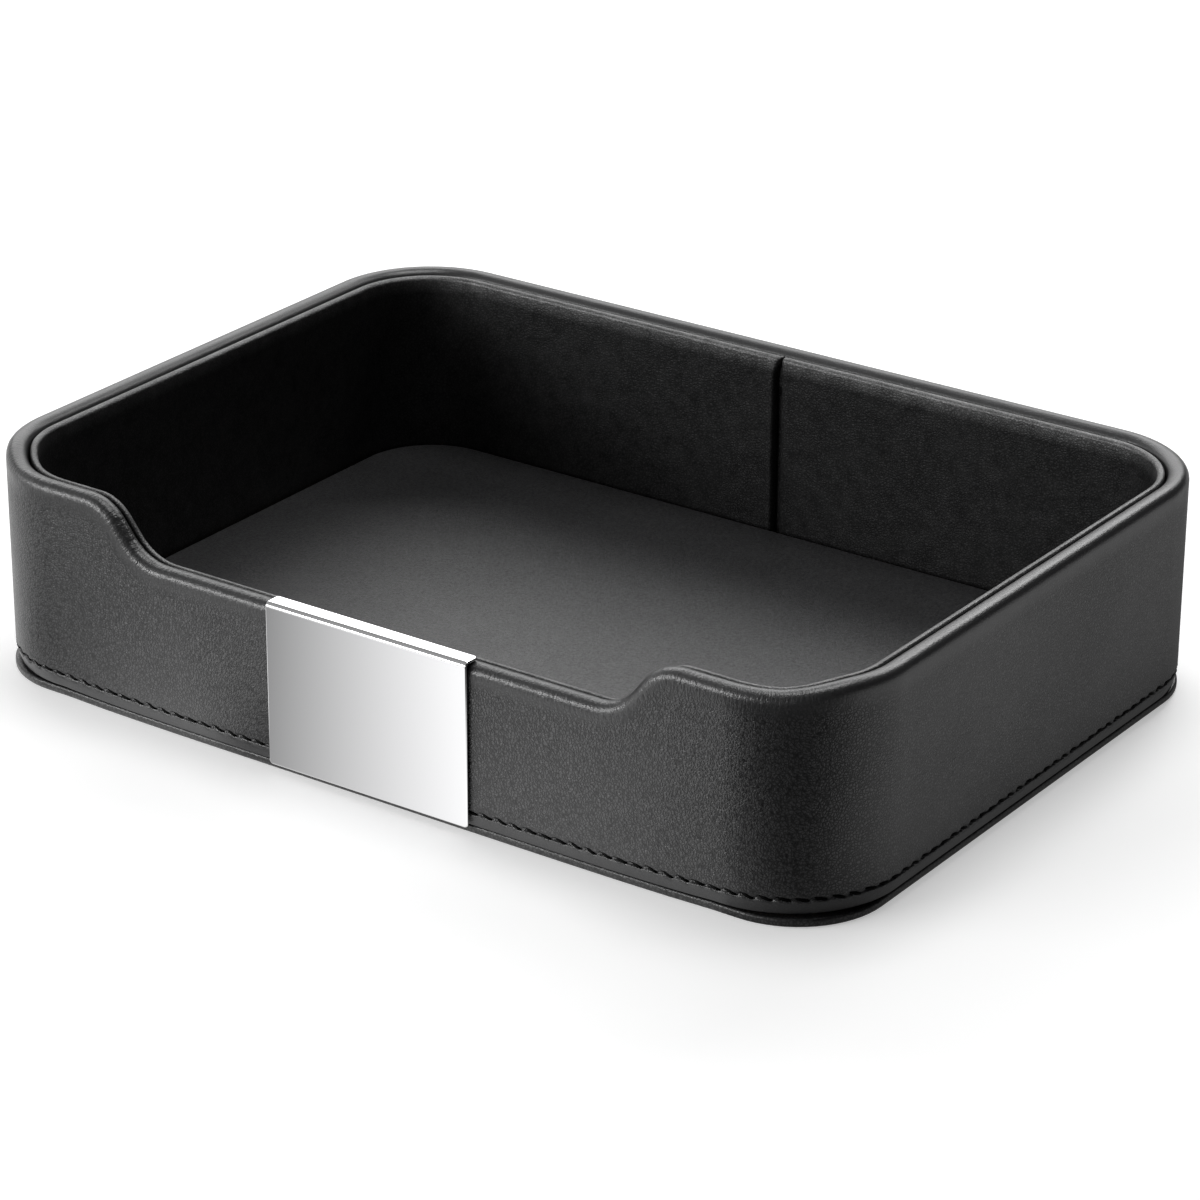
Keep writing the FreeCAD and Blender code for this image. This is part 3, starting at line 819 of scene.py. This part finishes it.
def studio_floor():
    """White paper; in reflections only, it shows painted pools of light with painted shade between them.
    """
    bm = bmesh.new()
    bmesh.ops.create_grid(bm, x_segments=1, y_segments=1, size=4.0)
    mesh = bpy.data.meshes.new("studio_floor")
    bm.to_mesh(mesh)
    bm.free()
    floor = bpy.data.objects.new("studio_floor", mesh)
    bpy.context.scene.collection.objects.link(floor)
    material, tree, shader = new_material("white_paper_floor")
    place = add(tree, "ShaderNodeTexCoord", "Object")
    x = add(tree, "ShaderNodeSeparateXYZ", "X", {"Vector": place})
    y = x.node.outputs["Y"]

    # In front: painted pools of light and painted dark bands, seen in reflections, that run slanting past
    # the plate
    slanted = add(tree, "ShaderNodeVectorMath", "Value", {0: place, 1: (1, -0.8, 0)},
                  operation="DOT_PRODUCT")
    along = add(tree, "ShaderNodeMapRange", "Result",
                {"Value": slanted, "From Min": -0.125, "From Max": 0.275})
    painted_pools = add(tree, "ShaderNodeValToRGB", "Color", {"Fac": along})
    bands = painted_pools.node.color_ramp.elements
    bands[1].position = PAINTED_POOL_BANDS[1][0]
    for position, _ in PAINTED_POOL_BANDS[2:]:
        bands.new(position)
    for band, (_, tone) in zip(bands, PAINTED_POOL_BANDS):
        band.color = (tone, tone, tone, 1)
    ahead = add(tree, "ShaderNodeMath", "Value", {0: painted_pools, 1: PAINTED_POOL_GLOW}, operation="MULTIPLY")

    # Beside and behind, in reflections: painted light on the left and painted shade on the right,
    # with a painted shadow strip close to the right wall
    aside = add(tree, "ShaderNodeMapRange", "Result",
                {"Value": x, "From Min": -0.15, "From Max": 0.14, "To Min": 1.2, "To Max": 0.5})
    beyond = add(tree, "ShaderNodeMapRange", "Result",
                 {"Value": x, "From Min": 0.15, "From Max": 0.2, "To Min": 0.0, "To Max": 0.08})
    near = add(tree, "ShaderNodeMapRange", "Result",
               {"Value": x, "From Min": 0.134, "From Max": 0.146, "To Min": 0.35, "To Max": 1.0})
    left = add(tree, "ShaderNodeMath", "Value", {0: x, 1: 0.1}, operation="LESS_THAN")
    painted_shadow_strip = add(tree, "ShaderNodeMath", "Value", {0: near, 1: left}, operation="MAXIMUM")
    beside = add(tree, "ShaderNodeMath", "Value", {0: aside, 1: beyond}, operation="ADD")
    beside = add(tree, "ShaderNodeMath", "Value", {0: beside, 1: painted_shadow_strip}, operation="MULTIPLY")

    # The one gives way to the other close to the tray's front.
    before = add(tree, "ShaderNodeMapRange", "Result",
                 {"Value": y, "From Min": -0.092, "From Max": -0.098})
    level = add(tree, "ShaderNodeMix", "Result", {"Factor": before, "A": beside, "B": ahead})
    seen = add(tree, "ShaderNodeLightPath", "Is Camera Ray")
    mirror = seen.node.outputs["Is Glossy Ray"]
    mirrored = add(tree, "ShaderNodeMath", "Value", {0: level, 1: mirror}, operation="MULTIPLY")
    glow = add(tree, "ShaderNodeMath", "Value", {0: seen, 1: PAPER_GLOW, 2: mirrored},
               operation="MULTIPLY_ADD")
    paper = add(tree, "ShaderNodeMath", "Value", {0: mirror, 1: -PAPER_TONE, 2: PAPER_TONE},
                operation="MULTIPLY_ADD")
    colour = add(tree, "ShaderNodeCombineColor", "Color", {"Red": paper, "Green": paper, "Blue": paper})
    shader.inputs["Roughness"].default_value = 0.9
    shader.inputs["Specular IOR Level"].default_value = 0.0
    shader.inputs["Emission Color"].default_value = (1, 1, 1, 1)
    tree.links.new(colour, shader.inputs["Base Color"])
    tree.links.new(glow, shader.inputs["Emission Strength"])
    mesh.materials.append(material)


def softbox(name, place, aim, width, height, radiance):
    """A soft rectangular lamp that only its light and its reflections show."""
    light = bpy.data.lights.new(name, "AREA")
    light.shape = "RECTANGLE"
    light.size = width
    light.size_y = height
    light.energy = math.pi * width * height * radiance
    lamp = bpy.data.objects.new(name, light)
    lamp.location = place
    lamp.rotation_euler = (Vector(aim) - Vector(place)).to_track_quat("-Z", "Y").to_euler()
    lamp.visible_camera = False
    bpy.context.scene.collection.objects.link(lamp)


def studio():
    """White surroundings, soft lamps and the camera."""
    studio_floor()
    world = bpy.data.worlds.new("studio_white")
    bpy.context.scene.world = world
    world.use_nodes = True
    tree = world.node_tree
    heading = add(tree, "ShaderNodeTexCoord", "Generated")
    side = add(tree, "ShaderNodeVectorMath", "Value", {0: heading, 1: LIGHT_SIDE},
               operation="DOT_PRODUCT")
    light_side = add(tree, "ShaderNodeMapRange", "Result",
                     {"Value": side, "From Min": -0.3, "From Max": 0.8, "To Min": 0.03, "To Max": 1.0})
    climb = add(tree, "ShaderNodeSeparateXYZ", "Z", {"Vector": heading})
    low = add(tree, "ShaderNodeMapRange", "Result",
              {"Value": climb, "From Min": 0.1, "From Max": 0.5, "To Min": 1.0, "To Max": 0.4})
    dim = add(tree, "ShaderNodeMath", "Value", {0: light_side, 1: low}, operation="MULTIPLY")
    seen = add(tree, "ShaderNodeLightPath", "Is Camera Ray")
    strength = add(tree, "ShaderNodeMath", "Value", {0: dim, 1: seen}, operation="MAXIMUM")
    back = tree.nodes["Background"]
    back.inputs["Color"].default_value = (1, 1, 1, 1)
    tree.links.new(strength, back.inputs["Strength"])

    softbox("softbox_front_left", place=(-0.55, -0.8, 0.3), aim=(0, -0.05, 0.03),
            width=0.7, height=0.22, radiance=10)
    softbox("softbox_back_left", place=(-0.72, 1.02, 0.88), aim=(0, 0.05, 0.03),
            width=1.8, height=0.85, radiance=2.75)
    softbox("softbox_back_right", place=(0.07, 0.35, 0.38), aim=(0.13, 0, 0.058),
            width=0.14, height=0.14, radiance=5.8)
    softbox("softbox_top", place=(0.05, 0.1, 0.9), aim=(0, 0, 0.03),
            width=0.4, height=0.4, radiance=6)

    camera = bpy.data.cameras.new("camera")
    camera.lens = CAMERA_LENS
    camera.sensor_width = 36.0
    holder = bpy.data.objects.new("camera", camera)
    holder.location = CAMERA_PLACE
    holder.rotation_euler = [math.radians(angle) for angle in CAMERA_TURN]
    bpy.context.scene.collection.objects.link(holder)
    bpy.context.scene.camera = holder
    bpy.context.scene.view_settings.view_transform = "Standard"


wall_leather = grained_leather(
    "pebbled_coated_leather_black", dark="#040405", pale="#2a2a2b", roughness=0.38, gloss=1.7,
    grain=0.75, depth=0.07, mottle=0.1, crinkled=True)
lining_leather = grained_leather(
    "smooth_coated_leather_black", dark="#050506", pale="#0a0a0b", roughness=0.52, gloss=1.45,
    grain=0.8, depth=0.05, mottle=0.7, burnished=0.65)
base_leather = grained_leather(
    "base_coated_leather_black", dark="#0f0f10", pale="#202021", roughness=0.38, gloss=1.7,
    grain=0.9, depth=0.04, mottle=0.1)
pressed_felt = board("pressed_felt_black", "#141414", "#262626", 0.7)
greyboard = board("greyboard", "#6f6c66", "#8f8b83", 0.8)
fibreboard = board("raw_fibreboard", "#8a6a48", "#a98760", 0.6)
foam_tape = board("foam_tape_white", "#cfcec8", "#dedcd6", 0.4)

wall_wrap(wall_leather)
lining_wrap(lining_leather)
hem_stitches(waxed_thread())
pads(floor_covering(), base_leather, pressed_felt)
bent_plate(mirror_steel())
wall_boards(fibreboard, greyboard)
dress_nodes(fibreboard, greyboard, foam_tape)
studio()
